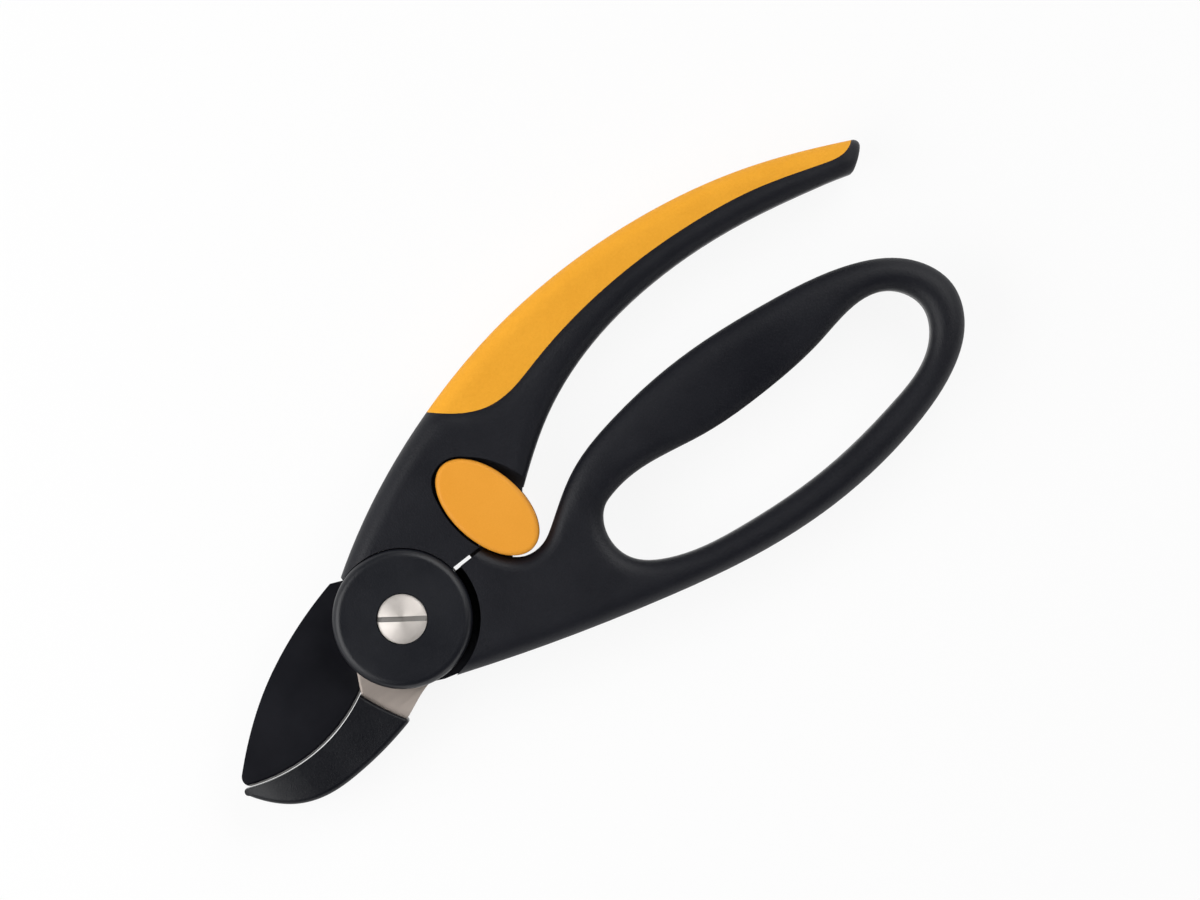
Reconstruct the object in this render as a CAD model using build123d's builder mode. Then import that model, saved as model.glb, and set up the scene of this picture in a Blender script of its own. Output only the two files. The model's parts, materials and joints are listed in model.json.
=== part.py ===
from build123d import *
import os
from math import asin, cos, degrees, radians, sin, tan

# Anvil pruning shears, closed, lying on the rear pivot cap.
# Frame: origin on the pivot axis at the face the shears lie on, +X from the jaws to the handles,
# +Y towards the plain handle, +Z up along the pivot axis. All sizes are in millimetres.

os.makedirs("parts", exist_ok=True)

# Pivot stack: heights above and below the middle plane of the blade
MID_Z = 10.5
BLADE_HALF = 1.5
WASHER_IN = 1.55
CHEEK_IN = 2.0
CHEEK_OUT = 4.0
CAP_OUT = 10.5
HANDLE_HALF = 9.2
SLOT_HALF = 2.1
RELIEF_HALF = 4.2

# Pivot radii and fits
CAP_R = 16.1
CAP_RIM = 2.0
CAP_SEAT_R = 16.25
CRESCENT_R = 17.95
CHEEK_RELIEF_R = 19.0
BLADE_SLOT_R = 19.5
LOBE_R = 15.5
HUB_TOP_R = 15.8
HUB_LOW_R = 16.2
HUB_TOP_END = 108
BUSH_R = 5.0
BUSH_PLAY = 0.03
THRUST_R = 11.0
SCREW_R = 3.0
SCREW_PLAY = 0.1
HEAD_R = 5.7
HEAD_T = 2.0
HEAD_RIM_T = 1.2
HEAD_PROUD = 0.3
HEAD_PLAY = 0.2
DRIVER_SLOT_W = 1.2
DRIVER_SLOT_DEPTH = 1.1
DRIVER_SLOT_ANGLE = -36
HEAD_WASHER_T = 0.8
NUT_FLATS = 10.0
NUT_Z = 2.4
NUT_T = 3.2
SCREW_END_Z = 2.0
SCREW_HOLE_Z = 1.6

# Return spring: a flat spiral in the front cap, with a leg that reaches down to the blade
OPENING_ANGLE = 28
SPRING_START_R = 7.8
SPRING_STEP = 0.9
SPRING_HALF_TURNS = 6
SPRING_LEG_R = SPRING_START_R + SPRING_STEP * SPRING_HALF_TURNS
SPRING_LEG_ANGLE = 100
SPRING_LEG_W = 1.2
SPRING_LEG_DEPTH = 1.0
SPRING_STRIP = 0.8
SPRING_BASE = 4.3
SPRING_H = 2.7
SPRING_TAB_R = 5.8
SPRING_PLAY = 0.3
SPRING_SLOT_W = 1.8
SPRING_SLOT_ARC = OPENING_ANGLE + 4
CHAMBER_IN_R = 7.0
CHAMBER_OUT_R = 14.1
CHAMBER_TOP = 7.5

# Jaws: the cutting edge and the anvil are arcs about one centre
EDGE_CENTRE = (-36.5, 27.6)
EDGE_R = 39.5
EDGE_LOW_ANGLE = -88
HEEL_ANGLE = -10
TIP_ANGLE = -128
GRIND_W = 20.0
GRIND_EDGE_HALF = 0.5
BEVEL_W = 0.8
BEVEL_EDGE_HALF = 0.08
ANVIL_GAP = 0.2
ANVIL_HALF = 5.5
ANVIL_ROUND = 1.2
ANVIL_END_ROUND = 0.8
ANVIL_START_ANGLE = -63
ANVIL_END_ANGLE = -114
BAR_TOP_R = 41.6
BAR_WEB = 2.2
NECK_CHAMFER = 0.45

# Lock lever: it swings on a pin in the plain handle, its lower end along the loop handle's notch
LOCK_X = 29.5
LOCK_Y = 14.5
LOCK_SWING = 15
OVAL_LONG = 14.1
OVAL_SHORT = 8.05
OVAL_SHIFT = (1.5, -6.3)
OVAL_ANGLE = -79.1
OVAL_GAP = 0.55
LOCK_FLOOR = 6.0
LOCK_IN = 6.4
LOCK_OUT = 9.5
LOCK_ROUND = 1.1
LOCK_PIN_R = 2.0
LOCK_PIN_HALF = 8.2
LOCK_PIN_PLAY = 0.05
LOCK_WASHER_R = 4.6
LOCK_WASHER_PLAY = 0.02
LOCK_WEB_R = 13.0
LOCK_WEB_ANGLES = (-107.5, -36.0)
LOCK_CORE_R = 13.5
LOCK_CORE_INSET = 1.2
HOOK_HALF = 2.6
HOOK_TOP_R = 16.0
HOOK_FOOT_R = (24.2, 26.2)
HOOK_START = -100
HOOK_STEM_END = -93
HOOK_FOOT_END = -80
POCKET_HALF = 3.0
POCKET_R = (23.8, 26.6)
POCKET_START = -101.5
POCKET_END = -63
MOUTH_R = (16.0, 24.4)
MOUTH_END = -73

# Handles
UPPER_STOP_Y = 2.1
LOWER_STOP_Y = 1.3
BUFFER_X = (21.0, 24.8)
BUFFER_FOOT_X = 26.5
BUFFER_TOP_Y = 2.45
BUFFER_FOOT_Y = -2.0
BUFFER_HALF = 6.0
RECESS_PLAY = 0.3
RECESS_GAP = 0.05
UPPER_OUTER_ROUND = 4.5
UPPER_INNER_ROUND = 3.1
UPPER_TIP_ROUND = 1.5
LOWER_OUTER_ROUND = 3.2
LOOP_ROUND = 3.3
RIM_MIN_HALF = 6.0
RIM_MIN_LENGTH = 22.0
FLANK_CENTRE = (93.3, -65.7)
FLANK_R = (50.0, 68.2)
FLANK_SLOPE = 10.0
FLANK_HALF = 8.72
FLANK_TILT = 1.14
FLANK_ANGLES = (55, 125)
LOOP_X = (44.0, 140.0)
LOOP_Y = (-33.0, -5.5)
UPPER_TAPER = (70.0, 162.0, 7.0)
LOWER_TAPER = (45.0, 148.0, 7.0)
GRIP_WALL = 2.8
GRIP_FLANGE_IN = 6.0
REACH = 60.0

# Outlines in plan, seen from the front
TANG_TOP = 1.2
UPPER_OUTER = [
    (-5.4, 16.2), (10, 24.85), (33.3, 33.9), (60, 39.6), (78, 40.6), (100, 39.0), (125, 33.2),
    (149.6, 22.7), (158, 18.4),
]
UPPER_INNER = [
    (154, 12.4), (143, 17.4), (135, 19.65), (115, 23.9), (95, 25.4), (75, 23.4), (55, 16.4),
    (40, 6.5), (33, 1.3),
]
UPPER_ROOT = [(33, -2), (-5.4, -2)]
UPPER_END = [(153.4, 27.2), (148.8, 20.3), (140.2, 15.6)]
UPPER_BEYOND = [(170, 0), (170, 40)]
GRIP_EDGE = [
    (31.6, 35.6), (35, 32.4), (40, 28.5), (45, 26.3), (50, 25.8), (60, 27.7), (75, 30.4),
    (92, 31.4), (110, 30.3), (125, 27.6), (140, 22.8), (144, 21.8), (151, 26.0),
]
GRIP_OUTSIDE = [(151, 50), (31.6, 50)]
GRIP_CORE = [(x, y - GRIP_WALL) for x, y in UPPER_OUTER]
GRIP_INSIDE = [(158, -10), (-5.4, -10)]
LOWER_OUTER = [
    (0, -17.2), (20, -24.3), (50, -33.2), (75, -38.7), (95, -40.3), (120, -37.6), (135, -32.5),
    (143, -26.3), (146.6, -17), (142.5, -6.9), (130, 1.1), (110, 5.75), (86, 7.95), (65, 6.3),
    (52, 2.9), (45, -0.9), (40.3, -4.0), (35.7, -6.3), (30.6, -5.95), (27, -2.9), (24.6, LOWER_STOP_Y),
]
LOWER_ROOT = [(8, LOWER_STOP_Y), (0, -8)]
LOOP_HOLE = [
    (54, -7.5), (62, -6.4), (80, -9.1), (97, -10.1), (115, -8.8), (127, -7.2), (134, -9.2), (138.2, -17.1),
    (134, -24.8), (120, -30.2), (96, -32.8), (75, -31.4), (57, -26.9), (49.6, -20.8), (49.2, -12.5),
]
BLADE_SPINE = [(-51.6, -5.7), (-45, 0), (-35, 6.8), (-25, 11.6), (-15, 15.0), (-8.5, 16.6)]
BLADE_TIP = [(-51.5, -8.9), (-52.25, -7.4), (-51.6, -5.7)]
TANG = [
    (19, TANG_TOP), (19.6, -3), (22.5, -13.2), (40, -17.2), (40, -24.5), (20, -21.8), (4, -18.3), (-1, -16.9),
]
ANVIL_OUTER = [
    (-53.0, -10.4), (-50, -14.5), (-45, -18.8), (-38, -21.4), (-30, -21.8), (-20, -20.85), (-12.9, -19.45),
]
ANVIL_TIP = (-53.35, -9.2)
ANVIL_NOSE = [(-28, ANVIL_HALF), (-46, 5.0), (-51.5, 3.6), (-54, 1.6)]
ANVIL_END_MID = (-16.1, -13.6)
NECK_SIDE = [(-12, 4), (-16.2, -3.7), (-18.0, -7.3), (-19.4, -10.2)]
NECK_LOW = [(-12.8, -18.5), (-10, -17.3), (-7.5, -16.3), (-4.5, -15.5)]
BAR_TIP = (-47.5, -12.6)
BAR_LOW = [(-47, -14.6), (-42, -18.6), (-36, -20.0), (-28, -20.1), (-20, -19.4), (-12.8, -18.5)]
BAR_WEB_TOP = [(x, y + BAR_WEB) for x, y in BAR_LOW]
ARM_TANG = [(0, 14), (20, 25), (60, 32.5), (62, 28.5), (40, 22.5), (24, 17.8), (14.5, 5)]

MID = Plane.XY.offset(MID_Z)
LOCK = Plane((LOCK_X, LOCK_Y, MID_Z))
SCREW_SEAT_Z = MID_Z + CAP_OUT + HEAD_PROUD - HEAD_T


def polar(radius, angle, centre=(0, 0)):
    """The point at a radius and an angle in degrees from a centre."""
    return centre[0] + radius * cos(radians(angle)), centre[1] + radius * sin(radians(angle))


def ring_sector(radii, start, end):
    """A face between two radii and two angles in degrees."""
    with BuildSketch() as sector:
        with BuildLine():
            CenterArc((0, 0), radii[1], start, end - start)
            Line(polar(radii[1], end), polar(radii[0], end))
            CenterArc((0, 0), radii[0], start, end - start)
            Line(polar(radii[0], start), polar(radii[1], start))
        make_face()
    return sector.sketch


def arc_slot(start, size):
    """The curved slot that the leg of the return spring moves in."""
    with BuildSketch() as slot:
        SlotArc(CenterArc((0, 0), SPRING_LEG_R, start, size, mode=Mode.PRIVATE), SPRING_SLOT_W)
    return slot.sketch


def lever_oval(growth, turn=0):
    """The lever's oval seen from its pin, grown by a margin and swung by an angle."""
    with BuildSketch() as oval:
        with Locations(Location((0, 0, 0), (0, 0, turn))):
            with Locations(Location((*OVAL_SHIFT, 0), (0, 0, OVAL_ANGLE))):
                Ellipse(OVAL_LONG + growth, OVAL_SHORT + growth)
    return oval.sketch


def lever_core():
    """The part of the lever that lies between the handles."""
    with BuildSketch() as core:
        add(lever_oval(-LOCK_CORE_INSET))
        Circle(LOCK_CORE_R, mode=Mode.SUBTRACT)
    return core.sketch


def side_profile(taper_x, end_x, end_half):
    """Side view of a handle: even height at the pivot, then one long arc down to the far end."""
    run = end_x - taper_x
    drop = HANDLE_HALF - end_half
    radius = (run**2 + drop**2) / (2 * drop)
    with BuildSketch() as profile:
        with BuildLine():
            even = Line((-REACH, HANDLE_HALF), (taper_x, HANDLE_HALF))
            taper = JernArc(even @ 1, even % 1, radius, -degrees(asin(run / radius)))
            Polyline(taper @ 1, (end_x, 0), (-REACH, 0), even @ 0)
        make_face()
        mirror(about=Plane.XZ)
    return profile.sketch


def anvil_nose():
    """Top view of the anvil, turned up: even width, drawn in at the nose."""
    with BuildSketch() as nose:
        with BuildLine():
            Line((0, ANVIL_HALF), ANVIL_NOSE[0])
            Spline(*ANVIL_NOSE, tangents=((-1, 0), (-0.4, -1)))
            Polyline(ANVIL_NOSE[-1], (ANVIL_NOSE[-1][0], 0), (0, 0), (0, ANVIL_HALF))
        make_face()
        mirror(about=Plane.XZ)
    return nose.sketch


def rim_edges(handle):
    """The long edges round the front and rear faces of a handle."""
    outside = handle.edges().filter_by(lambda edge: abs(edge.center().Z - MID_Z) > RIM_MIN_HALF)
    return outside.filter_by(lambda edge: edge.length > RIM_MIN_LENGTH)


def on_neck(edge):
    """True for an outer edge of the arm's neck, on the side that the blade passes."""
    middle = edge @ 0.5
    outer = abs(abs(middle.Z - MID_Z) - CHEEK_OUT) < 0.01
    return outer and NECK_SIDE[-1][0] < middle.X < NECK_SIDE[1][0] and middle.Y > NECK_SIDE[-1][1]


def on_anvil_end(edge):
    """True for a front or rear edge of the anvil's end face, which meets the neck of the arm."""
    middle = edge @ 0.5
    outer = abs(abs(middle.Z - MID_Z) - ANVIL_HALF) < 0.01
    return outer and edge.length > ANVIL_HALF / 2 and middle.X > ANVIL_END_MID[0] - ANVIL_END_ROUND


def in_loop(edge):
    """True for an edge whose middle lies on the outline of the finger loop."""
    middle = edge @ 0.5
    return LOOP_X[0] < middle.X < LOOP_X[1] and LOOP_Y[0] < middle.Y < LOOP_Y[1]


# Blade: hub, tang and ground cutting edge in one plate
with BuildPart() as blade:
    with BuildSketch(MID):
        with BuildLine():
            Spline(*BLADE_SPINE)
            tang_angle = degrees(asin(TANG_TOP / HUB_TOP_R))
            hub_top = CenterArc((0, 0), HUB_TOP_R, tang_angle, HUB_TOP_END - tang_angle)
            Line(BLADE_SPINE[-1], hub_top @ 1)
            hub_low = CenterArc((0, 0), HUB_LOW_R, -101, -58.6)
            Polyline(hub_top @ 0, *TANG, hub_low @ 0)
            ThreePointArc(hub_low @ 1, polar(EDGE_R, EDGE_LOW_ANGLE, EDGE_CENTRE), BLADE_TIP[0])
            ThreePointArc(*BLADE_TIP)
        make_face()
    extrude(amount=BLADE_HALF, both=True)
    # A long wedge and a narrow bevel, ground about the centre of the cutting edge up to the hub
    tip_x, tip_y = polar(1, TIP_ANGLE)
    with BuildSketch(Plane((*EDGE_CENTRE, MID_Z), x_dir=(tip_x, tip_y, 0), z_dir=(tip_y, -tip_x, 0))):
        Polygon(
            (EDGE_R - GRIND_W, BLADE_HALF),
            (EDGE_R - BEVEL_W, GRIND_EDGE_HALF),
            (EDGE_R, BEVEL_EDGE_HALF),
            (EDGE_R + 1, BEVEL_EDGE_HALF),
            (EDGE_R + 1, BLADE_HALF + 1),
            (EDGE_R - GRIND_W, BLADE_HALF + 1),
            align=None,
        )
        mirror(about=Plane.XZ)
    edge_axis = Axis((*EDGE_CENTRE, 0), (0, 0, 1))
    revolve(axis=edge_axis, revolution_arc=HEEL_ANGLE - TIP_ANGLE, mode=Mode.SUBTRACT)
    with BuildSketch(MID):
        Circle(HUB_TOP_R)
    extrude(amount=BLADE_HALF, both=True)
    with BuildSketch(MID):
        Circle(BUSH_R + BUSH_PLAY)
        add(arc_slot(SPRING_LEG_ANGLE, SPRING_SLOT_ARC))
    extrude(amount=BLADE_HALF, both=True, mode=Mode.SUBTRACT)

blade.part.label = "blade"
export_step(blade.part, "parts/blade.step")

# Two low-friction washers between the blade and the cheeks
for side, washer_name in ((1, "front_thrust_washer"), (-1, "rear_thrust_washer")):
    with BuildPart() as thrust_washer:
        with BuildSketch(Plane.XY.offset(MID_Z + side * WASHER_IN)):
            Circle(THRUST_R)
            Circle(BUSH_R, mode=Mode.SUBTRACT)
        extrude(amount=side * (CHEEK_IN - WASHER_IN))
    thrust_washer.part.label = washer_name
    export_step(thrust_washer.part, f"parts/{washer_name}.step")

# Anvil arm: steel cheeks either side of the blade, joined along the lower edge of the bar
with BuildPart() as anvil_arm:
    with BuildSketch(MID):
        with BuildLine():
            Spline(*NECK_SIDE)
            ThreePointArc(NECK_SIDE[-1], polar(BAR_TOP_R, EDGE_LOW_ANGLE, EDGE_CENTRE), BAR_TIP)
            Line(BAR_TIP, BAR_LOW[0])
            Spline(*BAR_LOW)
            Spline(*NECK_LOW)
            Line(NECK_LOW[-1], NECK_SIDE[0])
        make_face()
        Circle(LOBE_R)
        Polygon(*ARM_TANG, align=None)
        Circle(BUSH_R, mode=Mode.SUBTRACT)
        add(arc_slot(SPRING_LEG_ANGLE, -SPRING_SLOT_ARC), mode=Mode.SUBTRACT)
    extrude(amount=CHEEK_OUT, both=True)
    with BuildSketch(MID):
        Rectangle(4 * REACH, 2 * REACH)
        with BuildLine():
            Spline(*BAR_LOW)
            Line(BAR_LOW[-1], BAR_WEB_TOP[-1])
            Spline(*BAR_WEB_TOP)
            Line(BAR_WEB_TOP[0], BAR_LOW[0])
        make_face(mode=Mode.SUBTRACT)
    extrude(amount=CHEEK_IN, both=True, mode=Mode.SUBTRACT)
    chamfer(anvil_arm.edges().filter_by(on_neck), NECK_CHAMFER)

anvil_arm.part.label = "anvil_arm"
export_step(anvil_arm.part, "parts/anvil_arm.step")

# Anvil: moulded sleeve over the bar, hollowed to the arc of the cutting edge
with BuildPart() as anvil:
    with BuildSketch(MID):
        with BuildLine():
            anvil_top = CenterArc(
                EDGE_CENTRE, EDGE_R + ANVIL_GAP, ANVIL_START_ANGLE, ANVIL_END_ANGLE - ANVIL_START_ANGLE
            )
            ThreePointArc(anvil_top @ 1, ANVIL_TIP, ANVIL_OUTER[0])
            Spline(*ANVIL_OUTER)
            ThreePointArc(ANVIL_OUTER[-1], ANVIL_END_MID, anvil_top @ 0)
        make_face()
    extrude(amount=ANVIL_HALF, both=True)
    with BuildSketch(Plane.XZ.offset(REACH)):
        with Locations((0, MID_Z)):
            add(anvil_nose())
    extrude(amount=-2 * REACH, mode=Mode.INTERSECT)
    lower_edges = anvil.edges().filter_by(lambda edge: edge.length > 25 and edge.center().Y < -15)
    fillet(lower_edges, ANVIL_ROUND)
    fillet(anvil.edges().filter_by(on_anvil_end), ANVIL_END_ROUND)
    add(anvil_arm.part, mode=Mode.SUBTRACT)

anvil.part.label = "anvil"
export_step(anvil.part, "parts/anvil.step")

# Bush that the blade turns on
with BuildPart() as pivot_bush:
    with BuildSketch(MID):
        Circle(BUSH_R)
        Circle(SCREW_R + SCREW_PLAY, mode=Mode.SUBTRACT)
    extrude(amount=CHEEK_OUT, both=True)

pivot_bush.part.label = "pivot_bush"
export_step(pivot_bush.part, "parts/pivot_bush.step")

# Front cap: disc with a seat for the screw head and a chamber for the return spring
with BuildPart() as front_cap:
    with BuildSketch(MID.offset(CHEEK_OUT)):
        Circle(CAP_R)
        Circle(SCREW_R + SCREW_PLAY, mode=Mode.SUBTRACT)
    extrude(amount=CAP_OUT - CHEEK_OUT)
    front_rim = front_cap.faces().sort_by(Axis.Z)[-1].edges().sort_by(SortBy.LENGTH)[-1]
    fillet(front_rim, CAP_RIM)
    with BuildSketch(Plane.XY.offset(SCREW_SEAT_Z - HEAD_WASHER_T)):
        Circle(HEAD_R + HEAD_PLAY)
    extrude(amount=HEAD_WASHER_T + HEAD_T, mode=Mode.SUBTRACT)
    with BuildSketch(MID.offset(CHEEK_OUT)):
        Circle(CHAMBER_OUT_R)
        Circle(CHAMBER_IN_R, mode=Mode.SUBTRACT)
        with Locations(Location((*polar(CHAMBER_IN_R, SPRING_LEG_ANGLE), 0), (0, 0, SPRING_LEG_ANGLE))):
            Rectangle(2 * (CHAMBER_IN_R - SPRING_TAB_R), SPRING_STRIP + SPRING_PLAY)
    extrude(amount=CHAMBER_TOP - CHEEK_OUT, mode=Mode.SUBTRACT)

front_cap.part.label = "front_cap"
export_step(front_cap.part, "parts/front_cap.step")

# Rear cap: the same disc with a closed face, moulded round the nut
with BuildPart() as rear_cap:
    with BuildSketch():
        Circle(CAP_R)
    extrude(amount=CAP_OUT - CHEEK_OUT)
    fillet(rear_cap.faces().sort_by(Axis.Z)[0].edges(), CAP_RIM)
    with BuildSketch(Plane.XY.offset(SCREW_HOLE_Z)):
        Circle(SCREW_R + SCREW_PLAY)
    extrude(amount=CAP_OUT - CHEEK_OUT, mode=Mode.SUBTRACT)
    with BuildSketch(Plane.XY.offset(NUT_Z)):
        RegularPolygon(NUT_FLATS / 2, 6, major_radius=False)
    extrude(amount=NUT_T, mode=Mode.SUBTRACT)

rear_cap.part.label = "rear_cap"
export_step(rear_cap.part, "parts/rear_cap.step")

# Pivot screw with a domed, slotted head
with BuildPart() as pivot_screw:
    dome_rise = HEAD_T - HEAD_RIM_T
    head_dome = (HEAD_R**2 + dome_rise**2) / (2 * dome_rise)
    with BuildSketch(Plane.XY.offset(SCREW_END_Z)):
        Circle(SCREW_R)
    extrude(amount=SCREW_SEAT_Z - SCREW_END_Z)
    with BuildSketch(Plane.XZ):
        with BuildLine():
            head_top = SCREW_SEAT_Z + HEAD_T
            head_edge = SCREW_SEAT_Z + HEAD_RIM_T
            RadiusArc((0, head_top), (HEAD_R, head_edge), head_dome)
            Polyline((HEAD_R, head_edge), (HEAD_R, SCREW_SEAT_Z), (0, SCREW_SEAT_Z), (0, head_top))
        make_face()
    revolve(axis=Axis.Z)
    with BuildSketch(Plane.XY.offset(SCREW_SEAT_Z + HEAD_T)):
        Rectangle(3 * HEAD_R, DRIVER_SLOT_W, rotation=DRIVER_SLOT_ANGLE)
    extrude(amount=-DRIVER_SLOT_DEPTH, mode=Mode.SUBTRACT)

pivot_screw.part.label = "pivot_screw"
export_step(pivot_screw.part, "parts/pivot_screw.step")

# Nut inside the rear cap
with BuildPart() as pivot_nut:
    with BuildSketch(Plane.XY.offset(NUT_Z)):
        RegularPolygon(NUT_FLATS / 2, 6, major_radius=False)
        Circle(SCREW_R, mode=Mode.SUBTRACT)
    extrude(amount=NUT_T)

pivot_nut.part.label = "pivot_nut"
export_step(pivot_nut.part, "parts/pivot_nut.step")

# Washer under the head of the screw
with BuildPart() as head_washer:
    with BuildSketch(Plane.XY.offset(SCREW_SEAT_Z - HEAD_WASHER_T)):
        Circle(HEAD_R)
        Circle(SCREW_R + SCREW_PLAY, mode=Mode.SUBTRACT)
    extrude(amount=HEAD_WASHER_T)

head_washer.part.label = "head_washer"
export_step(head_washer.part, "parts/head_washer.step")

# Return spring: a spiral of half circles, a tab into the cap's boss and a leg down to the blade
with BuildPart() as return_spring:
    leg_x, leg_y = polar(1, SPRING_LEG_ANGLE)
    with BuildSketch(Plane((0, 0, MID_Z + SPRING_BASE), x_dir=(leg_x, leg_y, 0))):
        with BuildLine():
            Line((SPRING_TAB_R, 0), (SPRING_START_R, 0))
            for half_turn in range(SPRING_HALF_TURNS):
                side = (-1) ** half_turn
                begin = side * (SPRING_START_R + half_turn * SPRING_STEP)
                end = -side * (SPRING_START_R + (half_turn + 1) * SPRING_STEP)
                CenterArc(((begin + end) / 2, 0), abs(begin - end) / 2, 90 - 90 * side, 180)
        trace(line_width=SPRING_STRIP)
    extrude(amount=SPRING_H)
    with BuildSketch(MID.offset(-SPRING_LEG_DEPTH)):
        with Locations(Location((*polar(SPRING_LEG_R, SPRING_LEG_ANGLE), 0), (0, 0, SPRING_LEG_ANGLE))):
            Rectangle(SPRING_STRIP, SPRING_LEG_W)
    extrude(amount=SPRING_LEG_DEPTH + SPRING_BASE + SPRING_H)

return_spring.part.label = "return_spring"
export_step(return_spring.part, "parts/return_spring.step")

# Plain handle and grip start as one rounded form, cut off at a slant at the far end
with BuildPart() as upper_form:
    with BuildSketch(MID):
        with BuildLine():
            Spline(*UPPER_OUTER)
            Line(UPPER_OUTER[-1], UPPER_INNER[0])
            Spline(*UPPER_INNER)
            Polyline(UPPER_INNER[-1], *UPPER_ROOT, UPPER_OUTER[0])
        make_face()
    extrude(amount=HANDLE_HALF, both=True)
    with BuildSketch(Plane.XZ):
        with Locations((0, MID_Z)):
            add(side_profile(*UPPER_TAPER))
    extrude(amount=REACH, both=True, mode=Mode.INTERSECT)
    fillet(rim_edges(upper_form).filter_by(lambda edge: edge.center().Y > 29), UPPER_OUTER_ROUND)
    fillet(rim_edges(upper_form).filter_by(lambda edge: 10 < edge.center().Y < 27), UPPER_INNER_ROUND)
    with BuildSketch(MID):
        with BuildLine():
            ThreePointArc(*UPPER_END)
            Polyline(UPPER_END[-1], *UPPER_BEYOND, UPPER_END[0])
        make_face()
    extrude(amount=REACH, both=True, mode=Mode.SUBTRACT)
    fillet(upper_form.faces().sort_by(Axis.X)[-1].edges(), UPPER_TIP_ROUND)

# Soft grip: a channel over the spine of the plain handle
with BuildPart() as upper_grip:
    add(upper_form.part)
    with BuildSketch(MID):
        with BuildLine():
            Spline(*GRIP_EDGE)
            Polyline(GRIP_EDGE[-1], *GRIP_OUTSIDE, GRIP_EDGE[0])
        make_face()
    extrude(amount=REACH, both=True, mode=Mode.INTERSECT)
    with BuildSketch(MID):
        with BuildLine():
            Spline(*GRIP_CORE)
            Polyline(GRIP_CORE[-1], *GRIP_INSIDE, GRIP_CORE[0])
        make_face()
    extrude(amount=GRIP_FLANGE_IN, both=True, mode=Mode.SUBTRACT)

upper_grip.part.label = "upper_grip"
export_step(upper_grip.part, "parts/upper_grip.step")

# Plain handle: moulded round the arm's two tangs, cut for the pivot, the blade and the lever
with BuildPart() as upper_handle:
    add(upper_form.part)
    add(upper_grip.part, mode=Mode.SUBTRACT)
    with BuildSketch(MID):
        Circle(LOBE_R)
        with Locations((0, UPPER_STOP_Y - REACH / 2)):
            Rectangle(2 * REACH, REACH)
    extrude(amount=REACH, both=True, mode=Mode.SUBTRACT)
    for side in (1, -1):
        with BuildSketch(MID.offset(side * CHEEK_OUT)):
            Circle(CAP_SEAT_R)
        extrude(amount=side * REACH, mode=Mode.SUBTRACT)
    with BuildSketch(MID):
        with Locations((BUFFER_X[0] - RECESS_PLAY, BUFFER_TOP_Y + RECESS_GAP)):
            Rectangle(BUFFER_X[1] - BUFFER_X[0] + 2 * RECESS_PLAY, BUFFER_TOP_Y, align=(Align.MIN, Align.MAX))
    extrude(amount=BUFFER_HALF + RECESS_PLAY, both=True, mode=Mode.SUBTRACT)
    with BuildSketch(LOCK):
        add(ring_sector((LOCK_WEB_R, 2 * LOCK_WEB_R), *LOCK_WEB_ANGLES))
        Circle(LOCK_PIN_R + LOCK_PIN_PLAY)
    extrude(amount=REACH, both=True, mode=Mode.SUBTRACT)
    with BuildSketch(MID):
        Circle(BLADE_SLOT_R)
    extrude(amount=SLOT_HALF, both=True, mode=Mode.SUBTRACT)
    for side in (1, -1):
        with BuildSketch(LOCK.offset(side * LOCK_FLOOR)):
            for turn in (0, LOCK_SWING / 2, LOCK_SWING):
                add(lever_oval(OVAL_GAP, turn))
        extrude(amount=side * REACH, mode=Mode.SUBTRACT)
    add(anvil_arm.part, mode=Mode.SUBTRACT)

upper_handle.part.label = "upper_handle"
export_step(upper_handle.part, "parts/upper_handle.step")

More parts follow.
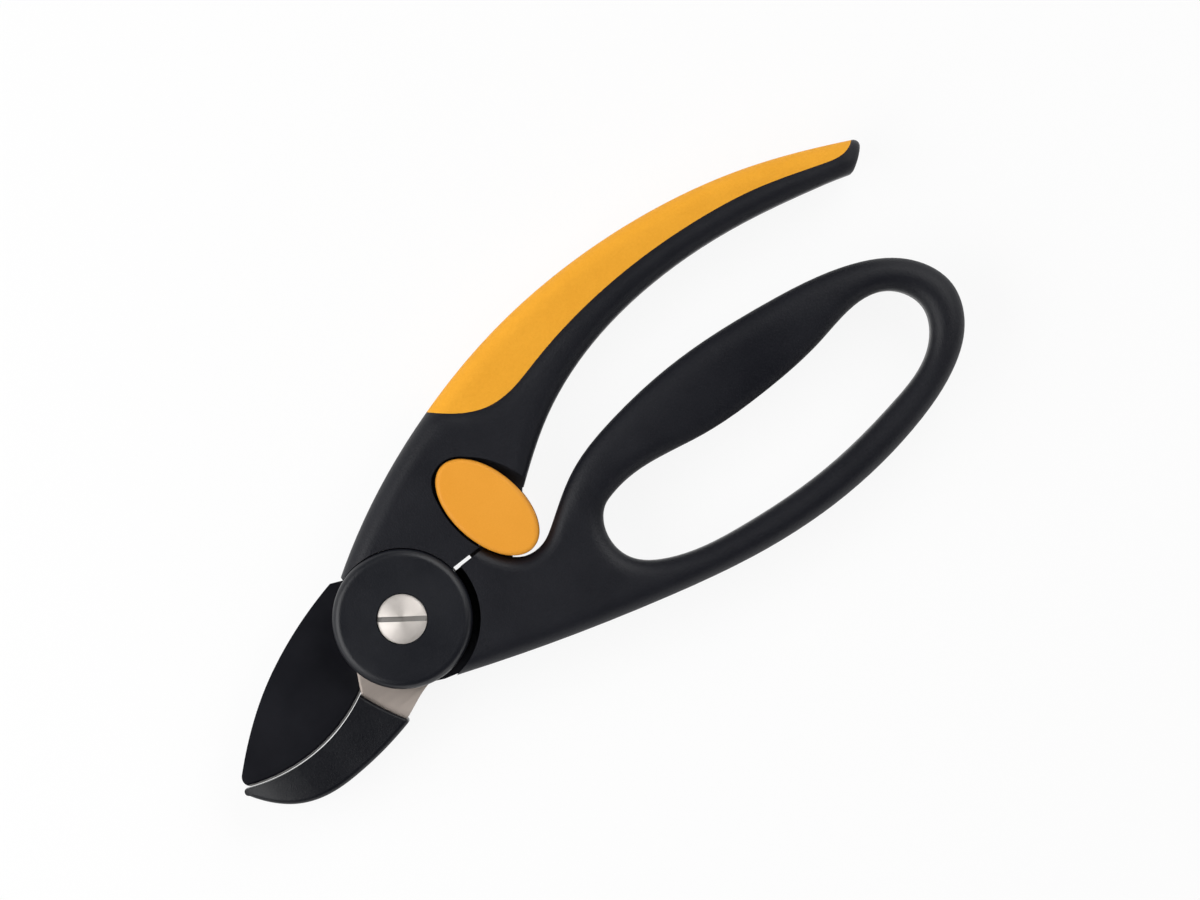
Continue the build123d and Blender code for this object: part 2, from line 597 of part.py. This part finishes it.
# Loop handle: moulded round the blade's tang, with the finger loop and the lever's notch
with BuildPart() as lower_handle:
    with BuildSketch(MID):
        with BuildLine():
            Spline(*LOWER_OUTER)
            Polyline(LOWER_OUTER[-1], *LOWER_ROOT, LOWER_OUTER[0])
        make_face()
        with BuildLine():
            Spline(*LOOP_HOLE, periodic=True)
        make_face(mode=Mode.SUBTRACT)
    extrude(amount=HANDLE_HALF, both=True)
    with BuildSketch(Plane.XZ):
        with Locations((0, MID_Z)):
            add(side_profile(*LOWER_TAPER))
    extrude(amount=REACH, both=True, mode=Mode.INTERSECT)
    fillet(rim_edges(lower_handle).filter_by(lambda edge: not in_loop(edge)), LOWER_OUTER_ROUND)
    fillet(rim_edges(lower_handle).filter_by(in_loop), LOOP_ROUND)
    # The upper bar of the loop falls away to the hole on both faces, from a curved ridge
    for side in (1, -1):
        lean = side * sin(radians(FLANK_TILT))
        flank = Plane((*FLANK_CENTRE, MID_Z + side * FLANK_HALF), x_dir=(0, 1, 0), z_dir=(lean, 0, 1))
        fall = (FLANK_R[1] - FLANK_R[0]) * tan(radians(FLANK_SLOPE))
        start_dir = flank.x_dir.rotate(Axis((0, 0, 0), flank.z_dir), FLANK_ANGLES[0] - 90)
        with BuildSketch(Plane(flank.origin, x_dir=start_dir, z_dir=start_dir.cross(flank.z_dir))):
            Polygon(
                (FLANK_R[1], 0),
                (FLANK_R[0], -side * fall),
                (FLANK_R[0], side * fall),
                (FLANK_R[1], side * fall),
                align=None,
            )
        flank_axis = Axis(flank.origin, flank.z_dir)
        revolve(axis=flank_axis, revolution_arc=FLANK_ANGLES[1] - FLANK_ANGLES[0], mode=Mode.SUBTRACT)
    with BuildSketch(MID):
        Circle(CRESCENT_R)
    extrude(amount=REACH, both=True, mode=Mode.SUBTRACT)
    with BuildSketch(MID):
        Circle(CHEEK_RELIEF_R)
    extrude(amount=RELIEF_HALF, both=True, mode=Mode.SUBTRACT)
    with BuildSketch(LOCK):
        add(ring_sector(MOUTH_R, POCKET_START, MOUTH_END))
        add(ring_sector(POCKET_R, POCKET_START, POCKET_END))
    extrude(amount=POCKET_HALF, both=True, mode=Mode.SUBTRACT)
    with BuildSketch(MID):
        with Locations((BUFFER_X[0], BUFFER_FOOT_Y)):
            Rectangle(2 * (BUFFER_FOOT_X - BUFFER_X[0]), REACH, align=Align.MIN)
    extrude(amount=BUFFER_HALF, both=True, mode=Mode.SUBTRACT)
    add(blade.part, mode=Mode.SUBTRACT)

lower_handle.part.label = "lower_handle"
export_step(lower_handle.part, "parts/lower_handle.step")

# Stop buffer: a soft block that the handles close on
with BuildPart() as stop_buffer:
    with BuildSketch(MID):
        Polygon(
            (BUFFER_X[0], BUFFER_FOOT_Y),
            (BUFFER_FOOT_X, BUFFER_FOOT_Y),
            (BUFFER_X[1], BUFFER_TOP_Y),
            (BUFFER_X[0], BUFFER_TOP_Y),
            align=None,
        )
    extrude(amount=BUFFER_HALF, both=True)

stop_buffer.part.label = "stop_buffer"
export_step(stop_buffer.part, "parts/stop_buffer.step")

# Lock lever: two oval plates that meet the hook plate between the handles
for side, button_name in ((1, "lock_button_front"), (-1, "lock_button_rear")):
    with BuildPart() as lock_button:
        with BuildSketch(LOCK.offset(side * LOCK_IN)):
            add(lever_oval(0))
        extrude(amount=side * (LOCK_OUT - LOCK_IN))
        outer_face = lock_button.faces().sort_by(Axis.Z)[-1 if side > 0 else 0]
        fillet(outer_face.edges(), LOCK_ROUND)
        with BuildSketch(LOCK.offset(side * HOOK_HALF)):
            add(lever_core())
        extrude(amount=side * (LOCK_IN - HOOK_HALF))
        with BuildSketch(LOCK.offset(side * LOCK_IN)):
            Circle(LOCK_PIN_R)
        extrude(amount=side * (LOCK_PIN_HALF - LOCK_IN), mode=Mode.SUBTRACT)
    lock_button.part.label = button_name
    export_step(lock_button.part, f"parts/{button_name}.step")

# Hook plate of the lock, held between the two plates
with BuildPart() as lock_hook:
    with BuildSketch(LOCK):
        add(lever_core())
        add(ring_sector((HOOK_TOP_R, HOOK_FOOT_R[1]), HOOK_START, HOOK_STEM_END))
        add(ring_sector(HOOK_FOOT_R, HOOK_START, HOOK_FOOT_END))
    extrude(amount=HOOK_HALF, both=True)

lock_hook.part.label = "lock_hook"
export_step(lock_hook.part, "parts/lock_hook.step")

# Pin that joins the two halves and turns in the handle
with BuildPart() as lock_pin:
    with BuildSketch(LOCK):
        Circle(LOCK_PIN_R)
    extrude(amount=LOCK_PIN_HALF, both=True)

lock_pin.part.label = "lock_pin"
export_step(lock_pin.part, "parts/lock_pin.step")

# Friction washer under the front plate of the lever
with BuildPart() as lock_washer:
    with BuildSketch(LOCK.offset(LOCK_FLOOR + LOCK_WASHER_PLAY)):
        Circle(LOCK_WASHER_R)
        Circle(LOCK_PIN_R, mode=Mode.SUBTRACT)
    extrude(amount=LOCK_IN - LOCK_FLOOR - LOCK_WASHER_PLAY)

lock_washer.part.label = "lock_washer"
export_step(lock_washer.part, "parts/lock_washer.step")
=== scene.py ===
import json
import math

import bpy
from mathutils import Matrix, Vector

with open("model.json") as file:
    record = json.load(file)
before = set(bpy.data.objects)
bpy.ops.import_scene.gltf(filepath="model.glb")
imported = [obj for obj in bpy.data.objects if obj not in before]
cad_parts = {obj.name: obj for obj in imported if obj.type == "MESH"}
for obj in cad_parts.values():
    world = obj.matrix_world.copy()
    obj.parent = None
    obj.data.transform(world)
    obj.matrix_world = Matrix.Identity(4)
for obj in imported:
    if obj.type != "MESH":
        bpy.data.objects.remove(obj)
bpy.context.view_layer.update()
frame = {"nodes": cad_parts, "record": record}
nodes = frame["nodes"]

MM = 0.001
PIVOT = (0, 0, 0)

# The camera looks straight down on the shears, through a long lens
VIEW_CENTRE = Vector((59.4, 2.6, 10.5)) * MM
VIEW_WIDTH = 276 * MM
VIEW_ROLL = math.radians(-38)
LENS = 200
SENSOR = 36
CLIP_START = 0.05
CLIP_END = 50

# Floor just under the shears; the glow is the share of it that the camera and reflections see as pure white
FLOOR_HALF = 4.0
FLOOR_DROP = 0.1 * MM
FLOOR_GREY = 0.93
FLOOR_GLOW = 0.9

# Studio: white walls fade into a dark ceiling between these heights of a unit sphere
WALL_LIGHT = 1.0
CEILING_LIGHT = 0.03
WALL_TOP = 0.08
CEILING_EDGE = 0.42

# Blade: the cutting edge is an arc about this point, with a bare strip along it
EDGE_CENTRE = Vector((-36.5, 27.6, 0)) * MM
EDGE_R = 39.5 * MM
BARE_W = 0.4 * MM
EDGE_FADE = 0.12 * MM
EDGE_END_X = -14.5 * MM
COAT_ROUGHNESS = (0.36, 0.46)
BARE_ROUGHER = 0.15
COAT_DEPTH = 0.012 * MM

# Handles: soft edges, which grow crisp towards a point beside the lock and towards the pivot
SOFT_EDGE = 5.5 * MM
CRISP_CENTRE = Vector((25, 5, 0)) * MM
CRISP_R = (19 * MM, 24 * MM)
CRISP_PIVOT_R = (18 * MM, 23 * MM)
EDGE_SAMPLES = 8

# Screw: the driver slot's floor is painted a darker grey, as painted shade in the recess
SLOT_TOP = 20.45 * MM
SLOT_FADE = 0.1 * MM
SLOT_PAINTED_SHADE = (0.33, 0.317, 0.303)

# Turned metal: highlights spread across its rings, which waver by this many radians
RING_ANISOTROPY = 0.5
QUARTER_TURN = 0.25
RING_WAVER = 4.0

# Noises, in cells per metre
MOULD_PATCHES = 55
STEEL_LINES = 900
STEEL_PATCHES = 90
RING_WOBBLE = 400
RING_PATCHES = 220
COAT_PATCHES = 70
COAT_GRAIN = 2600
EDGE_RAGGED = 500
EDGE_LINES = 1600

# Lines are noises drawn out along one axis
ALONG_ARM = (0.12, 1, 1)
ALONG_EDGE = (0.3, 1, 1)
ALONG_PIVOT = (1, 1, 0.15)

# Shares of the first and the second noise in a blend, and how far roughness strays
FIRST_SHARE = 0.6
SECOND_SHARE = 0.4
GLOSS_SPREAD = 0.05
LINE_SPREAD = 0.07

# Sockets of a Mix node that mixes colours
MIX_FIRST = 6
MIX_SECOND = 7
MIX_RESULT = 2


class Surface:
    """A material round one Principled shader, with small helpers for its nodes."""

    def __init__(self, name, metallic=0.0, specular=0.5):
        self.material = bpy.data.materials.new(name)
        self.material.use_nodes = True
        self.tree = self.material.node_tree
        self.shader = self.tree.nodes["Principled BSDF"]
        self.shader.inputs["Metallic"].default_value = metallic
        self.shader.inputs["Specular IOR Level"].default_value = specular
        self.place = self.node("ShaderNodeTexCoord").outputs["Object"]

    def node(self, kind, **settings):
        made = self.tree.nodes.new(kind)
        for key, value in settings.items():
            setattr(made, key, value)
        return made

    def link(self, output, target):
        self.tree.links.new(output, target)

    def noise(self, scale, detail, roughness=0.55, stretch=None):
        """A noise value from 0 to 1; scale is in cells per metre."""
        where = self.place
        if stretch:
            mapping = self.node("ShaderNodeMapping")
            mapping.inputs["Scale"].default_value = stretch
            self.link(where, mapping.inputs["Vector"])
            where = mapping.outputs["Vector"]
        noise = self.node("ShaderNodeTexNoise")
        noise.inputs["Scale"].default_value = scale
        noise.inputs["Detail"].default_value = detail
        noise.inputs["Roughness"].default_value = roughness
        self.link(where, noise.inputs["Vector"])
        return noise.outputs["Fac"]

    def ramp(self, value, low, high, start=0.3, end=0.7):
        """A value mapped to a range; start and end suit a noise."""
        ramp = self.node("ShaderNodeMapRange")
        ramp.inputs["From Min"].default_value = start
        ramp.inputs["From Max"].default_value = end
        ramp.inputs["To Min"].default_value = low
        ramp.inputs["To Max"].default_value = high
        self.link(value, ramp.inputs["Value"])
        return ramp.outputs["Result"]

    def fill(self, target, value):
        """Gives an input a number, a colour or an output."""
        if isinstance(value, bpy.types.NodeSocket):
            self.link(value, target)
        elif isinstance(value, tuple):
            target.default_value = (*value, 1)
        else:
            target.default_value = value

    def mix(self, value, first, second):
        """A colour between two others, which are colours or outputs."""
        mix = self.node("ShaderNodeMix", data_type="RGBA")
        self.link(value, mix.inputs["Factor"])
        self.fill(mix.inputs[MIX_FIRST], first)
        self.fill(mix.inputs[MIX_SECOND], second)
        return mix.outputs[MIX_RESULT]

    def math(self, operation, first, second=None):
        made = self.node("ShaderNodeMath", operation=operation)
        self.fill(made.inputs[0], first)
        if second is not None:
            self.fill(made.inputs[1], second)
        return made.outputs["Value"]

    def weigh(self, first, second):
        """Two noises in one, with more of the first."""
        more = self.math("MULTIPLY", first, FIRST_SHARE)
        less = self.math("MULTIPLY", second, SECOND_SHARE)
        return self.math("ADD", more, less)

    def coordinate(self, axis):
        """One coordinate of the place, in metres."""
        split = self.node("ShaderNodeSeparateXYZ")
        self.link(self.place, split.inputs["Vector"])
        return split.outputs[axis]

    def distance(self, point):
        """The distance in plan from a point."""
        flat = self.node("ShaderNodeVectorMath", operation="MULTIPLY")
        flat.inputs[1].default_value = (1, 1, 0)
        self.link(self.place, flat.inputs[0])
        away = self.node("ShaderNodeVectorMath", operation="DISTANCE")
        away.inputs[1].default_value = point
        self.link(flat.outputs["Vector"], away.inputs[0])
        return away.outputs["Value"]

    def bump(self, height, distance):
        """Relief of a depth in metres."""
        self.relief = self.node("ShaderNodeBump")
        self.relief.inputs["Distance"].default_value = distance
        self.link(height, self.relief.inputs["Height"])
        self.link(self.relief.outputs["Normal"], self.shader.inputs["Normal"])

    def colour(self, output):
        self.link(output, self.shader.inputs["Base Color"])

    def rough(self, output):
        self.link(output, self.shader.inputs["Roughness"])


def moulded(name, dark, light, roughness, grain, depth, specular=0.5):
    """Moulded plastic or rubber: fine spark-eroded grain, soft patches of colour and gloss."""
    surface = Surface(name, specular=specular)
    patches = surface.noise(MOULD_PATCHES, detail=4)
    fine = surface.noise(grain, detail=2, roughness=0.6)
    speck = surface.weigh(patches, fine)
    surface.colour(surface.mix(surface.ramp(speck, 0, 1), dark, light))
    surface.rough(surface.ramp(patches, roughness - GLOSS_SPREAD, roughness + GLOSS_SPREAD))
    surface.bump(fine, depth)
    return surface


def moulded_handle():
    """The black of the handles, with edges that are soft away from the lock, the crescent and the cap."""
    surface = moulded(
        "handle_black",
        dark=(0.0038, 0.0043, 0.0078),
        light=(0.0064, 0.0070, 0.0116),
        roughness=0.47,
        grain=2200,
        depth=0.07 * MM,
        specular=0.33,
    )
    by_lock = surface.ramp(surface.distance(CRISP_CENTRE), 0, 1, *CRISP_R)
    by_pivot = surface.ramp(surface.distance(PIVOT), 0, SOFT_EDGE, *CRISP_PIVOT_R)
    bevel = surface.node("ShaderNodeBevel", samples=EDGE_SAMPLES)
    surface.link(surface.math("MULTIPLY", by_lock, by_pivot), bevel.inputs["Radius"])
    surface.link(bevel.outputs["Normal"], surface.relief.inputs["Normal"])
    return surface


def steel(name, dark, light, roughness, stretch, depth):
    """Bare steel with fine lines along one direction."""
    surface = Surface(name, metallic=1.0)
    lines = surface.noise(STEEL_LINES, detail=3, stretch=stretch)
    patches = surface.noise(STEEL_PATCHES, detail=3)
    blend = surface.weigh(lines, patches)
    surface.colour(surface.mix(surface.ramp(blend, 0, 1), dark, light))
    surface.rough(surface.ramp(lines, roughness - LINE_SPREAD, roughness + LINE_SPREAD))
    surface.bump(lines, depth)
    return surface


def turned(name, dark, light, roughness, pitch, depth, painted_shade_below=None):
    """Metal turned on a lathe: fine rings about the pivot axis, with painted shade below a height where one
    is given.
    """
    surface = Surface(name, metallic=1.0)
    surface.shader.inputs["Anisotropic"].default_value = RING_ANISOTROPY
    surface.shader.inputs["Anisotropic Rotation"].default_value = QUARTER_TURN
    tangent = surface.node("ShaderNodeTangent", direction_type="RADIAL", axis="Z")
    surface.link(tangent.outputs["Tangent"], surface.shader.inputs["Tangent"])
    waver = surface.math("MULTIPLY", surface.noise(RING_WOBBLE, detail=2), RING_WAVER)
    turns = surface.math("MULTIPLY", surface.distance(PIVOT), 2 * math.pi / pitch)
    rings = surface.math("SINE", surface.math("ADD", turns, waver))
    value = surface.ramp(rings, 0, 1, start=-1, end=1)
    patches = surface.noise(RING_PATCHES, detail=3)
    bright = surface.mix(surface.ramp(patches, 0, 1), dark, light)
    if painted_shade_below:
        # Painted shade: below the given height, on the floor of the driver slot, the colour is mixed to a
        # dark grey
        height = surface.coordinate("Z")
        painted_shade_mask = surface.ramp(height, 1, 0, start=painted_shade_below - SLOT_FADE, end=painted_shade_below)
        bright = surface.mix(painted_shade_mask, bright, SLOT_PAINTED_SHADE)
    surface.colour(bright)
    surface.rough(surface.ramp(value, roughness - GLOSS_SPREAD, roughness + GLOSS_SPREAD, start=0, end=1))
    surface.bump(value, depth)
    return surface


def coated_blade():
    """Black non-stick coating, with a strip ground bare along the cutting edge."""
    surface = Surface("blade_coating", specular=0.22)
    patches = surface.noise(COAT_PATCHES, detail=4)
    fine = surface.noise(COAT_GRAIN, detail=2)
    black = surface.mix(surface.ramp(patches, 0, 1), (0.0043, 0.0045, 0.0074), (0.0068, 0.0072, 0.0110))
    ragged = surface.math("MULTIPLY", surface.noise(EDGE_RAGGED, detail=2), EDGE_FADE)
    reach = surface.math("ADD", surface.distance(EDGE_CENTRE), ragged)
    bare_start = EDGE_R - BARE_W
    strip = surface.ramp(reach, 0, 1, start=bare_start, end=bare_start + EDGE_FADE)
    along = surface.math("LESS_THAN", surface.coordinate("X"), EDGE_END_X)
    bare = surface.math("MULTIPLY", strip, along)
    lines = surface.noise(EDGE_LINES, detail=2, stretch=ALONG_EDGE)
    ground = surface.mix(surface.ramp(lines, 0, 1), (0.62, 0.61, 0.59), (0.86, 0.85, 0.83))
    surface.colour(surface.mix(bare, black, ground))
    rougher = surface.math("MULTIPLY", bare, BARE_ROUGHER)
    surface.rough(surface.math("ADD", surface.ramp(patches, *COAT_ROUGHNESS), rougher))
    surface.link(bare, surface.shader.inputs["Metallic"])
    surface.bump(fine, COAT_DEPTH)
    return surface


surfaces = {
    "handle_black": moulded_handle(),
    "grip_orange": moulded(
        "grip_orange",
        dark=(0.86, 0.373, 0.0245),
        light=(0.945, 0.433, 0.0345),
        roughness=0.60,
        grain=1800,
        depth=0.14 * MM,
        specular=0.15,
    ),
    "lock_orange": moulded(
        "lock_orange",
        dark=(0.85, 0.345, 0.032),
        light=(0.92, 0.390, 0.043),
        roughness=0.48,
        grain=2600,
        depth=0.03 * MM,
        specular=0.2,
    ),
    "blade_coating": coated_blade(),
    "anvil_black": moulded(
        "anvil_black",
        dark=(0.0032, 0.0037, 0.0062),
        light=(0.0054, 0.0060, 0.0090),
        roughness=0.38,
        grain=2400,
        depth=0.05 * MM,
        specular=0.33,
    ),
    "cap_black": moulded(
        "cap_black",
        dark=(0.0054, 0.0062, 0.0098),
        light=(0.0082, 0.0092, 0.0134),
        roughness=0.38,
        grain=2400,
        depth=0.04 * MM,
        specular=0.45,
    ),
    "arm_steel": steel(
        "arm_steel",
        dark=(0.505, 0.443, 0.399),
        light=(0.598, 0.526, 0.476),
        roughness=0.55,
        stretch=ALONG_ARM,
        depth=0.004 * MM,
    ),
    "screw_steel": turned(
        "screw_steel",
        dark=(0.79, 0.742, 0.702),
        light=(0.90, 0.850, 0.806),
        roughness=0.62,
        pitch=0.35 * MM,
        depth=0.004 * MM,
        painted_shade_below=SLOT_TOP,
    ),
    "bush_bronze": turned(
        "bush_bronze",
        dark=(0.50, 0.36, 0.17),
        light=(0.60, 0.44, 0.23),
        roughness=0.38,
        pitch=0.4 * MM,
        depth=0.006 * MM,
    ),
    "washer_plastic": moulded(
        "washer_plastic",
        dark=(0.72, 0.71, 0.67),
        light=(0.80, 0.79, 0.75),
        roughness=0.42,
        grain=2600,
        depth=0.01 * MM,
    ),
    "spring_steel": steel(
        "spring_steel",
        dark=(0.20, 0.20, 0.205),
        light=(0.28, 0.28, 0.285),
        roughness=0.40,
        stretch=ALONG_PIVOT,
        depth=0.008 * MM,
    ),
    "buffer_rubber": moulded(
        "buffer_rubber",
        dark=(0.0036, 0.0037, 0.0042),
        light=(0.0052, 0.0053, 0.0060),
        roughness=0.66,
        grain=2600,
        depth=0.02 * MM,
        specular=0.25,
    ),
}
for part in frame["record"]["subparts"]:
    shown = nodes[part["node"]]
    shown.data.materials.clear()
    shown.data.materials.append(surfaces[part["material_slot"]].material)

# Camera
camera = bpy.data.objects.new("camera", bpy.data.cameras.new("camera"))
camera.data.lens = LENS
camera.data.sensor_width = SENSOR
camera.data.clip_start = CLIP_START
camera.data.clip_end = CLIP_END
camera.location = VIEW_CENTRE + Vector((0, 0, VIEW_WIDTH * LENS / SENSOR))
camera.rotation_euler = (0, 0, VIEW_ROLL)
bpy.context.scene.collection.objects.link(camera)
bpy.context.scene.camera = camera

# Floor, pale all over, a little dimmed where the shears shade it
floor_mesh = bpy.data.meshes.new("floor")
corners = [(x * FLOOR_HALF, y * FLOOR_HALF, 0) for x, y in ((-1, -1), (1, -1), (1, 1), (-1, 1))]
floor_mesh.from_pydata(corners, [], [(0, 1, 2, 3)])
floor = bpy.data.objects.new("floor", floor_mesh)
floor.location.z = -FLOOR_DROP
bpy.context.scene.collection.objects.link(floor)
pale = bpy.data.materials.new("floor_pale")
pale.use_nodes = True
tree = pale.node_tree
tree.nodes.clear()
paper = tree.nodes.new("ShaderNodeBsdfDiffuse")
paper.inputs["Color"].default_value = (FLOOR_GREY, FLOOR_GREY, FLOOR_GREY, 1)
glow = tree.nodes.new("ShaderNodeEmission")
path = tree.nodes.new("ShaderNodeLightPath")
mirrored = tree.nodes.new("ShaderNodeMath")
mirrored.operation = "MAXIMUM"
tree.links.new(path.outputs["Is Glossy Ray"], mirrored.inputs[0])
tree.links.new(path.outputs["Is Transmission Ray"], mirrored.inputs[1])
seen = tree.nodes.new("ShaderNodeMath")
seen.operation = "MAXIMUM"
tree.links.new(path.outputs["Is Camera Ray"], seen.inputs[0])
tree.links.new(mirrored.outputs["Value"], seen.inputs[1])
share = tree.nodes.new("ShaderNodeMath")
share.operation = "MULTIPLY"
share.inputs[1].default_value = FLOOR_GLOW
tree.links.new(seen.outputs["Value"], share.inputs[0])
blend = tree.nodes.new("ShaderNodeMixShader")
tree.links.new(share.outputs["Value"], blend.inputs["Fac"])
tree.links.new(paper.outputs["BSDF"], blend.inputs[1])
tree.links.new(glow.outputs["Emission"], blend.inputs[2])
out = tree.nodes.new("ShaderNodeOutputMaterial")
tree.links.new(blend.outputs["Shader"], out.inputs["Surface"])
floor_mesh.materials.append(pale)

# Studio: white walls all round, a dark ceiling and soft boxes
world = bpy.data.worlds.new("studio")
world.use_nodes = True
bpy.context.scene.world = world
tree = world.node_tree
where = tree.nodes.new("ShaderNodeTexCoord")
split = tree.nodes.new("ShaderNodeSeparateXYZ")
tree.links.new(where.outputs["Generated"], split.inputs["Vector"])
climb = tree.nodes.new("ShaderNodeMapRange")
climb.inputs["From Min"].default_value = WALL_TOP
climb.inputs["From Max"].default_value = CEILING_EDGE
climb.inputs["To Min"].default_value = WALL_LIGHT
climb.inputs["To Max"].default_value = CEILING_LIGHT
tree.links.new(split.outputs["Z"], climb.inputs["Value"])
tree.links.new(climb.outputs["Result"], tree.nodes["Background"].inputs["Color"])


def soft_box(name, bearing, height, distance, width, depth, power):
    """An area light aimed at the middle of the shears; bearing is in the picture, from its right."""
    light = bpy.data.lights.new(name, "AREA")
    light.shape = "RECTANGLE"
    light.size = width
    light.size_y = depth
    light.energy = power
    lamp = bpy.data.objects.new(name, light)
    turn = math.radians(bearing) + VIEW_ROLL
    rise = math.radians(height)
    away = Vector((math.cos(turn) * math.cos(rise), math.sin(turn) * math.cos(rise), math.sin(rise)))
    lamp.location = VIEW_CENTRE + away * distance
    lamp.rotation_euler = away.to_track_quat("Z", "Y").to_euler()
    bpy.context.scene.collection.objects.link(lamp)


soft_box("key", bearing=195, height=42, distance=0.7, width=0.81, depth=0.54, power=4.3)
soft_box("fill", bearing=51, height=44, distance=1.3, width=1.3, depth=1.0, power=10.8)
soft_box("low", bearing=-55, height=12, distance=1.3, width=1.6, depth=0.25, power=2.0)

bpy.context.scene.view_settings.view_transform = "Standard"
